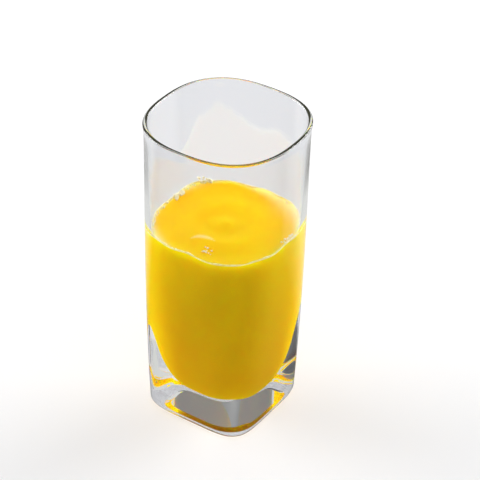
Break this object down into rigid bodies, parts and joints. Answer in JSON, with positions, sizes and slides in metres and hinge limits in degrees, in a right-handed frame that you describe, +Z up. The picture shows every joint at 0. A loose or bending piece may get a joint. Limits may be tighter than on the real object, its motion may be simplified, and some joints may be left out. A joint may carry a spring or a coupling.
{
  "type": "glass of tangerine juice",
  "caption": "Tall rounded-square glass tumbler with a heavy base, a little over half full of tangerine juice.",
  "frame": {"origin": "middle of the foot, on the surface that the glass stands on", "axes": "+Z up, along the glass's axis; +X and +Y square to its flat sides, so its rounded corners point between them"},
  "size_m": [0.0659, 0.0658, 0.145],
  "materials": {
    "glass": "clear, fire-polished",
    "juice": "wet, cloudy"
  },
  "bodies": {
    "root": {"tumbler": "glass", "juice": "juice"}
  },
  "joints": []
}
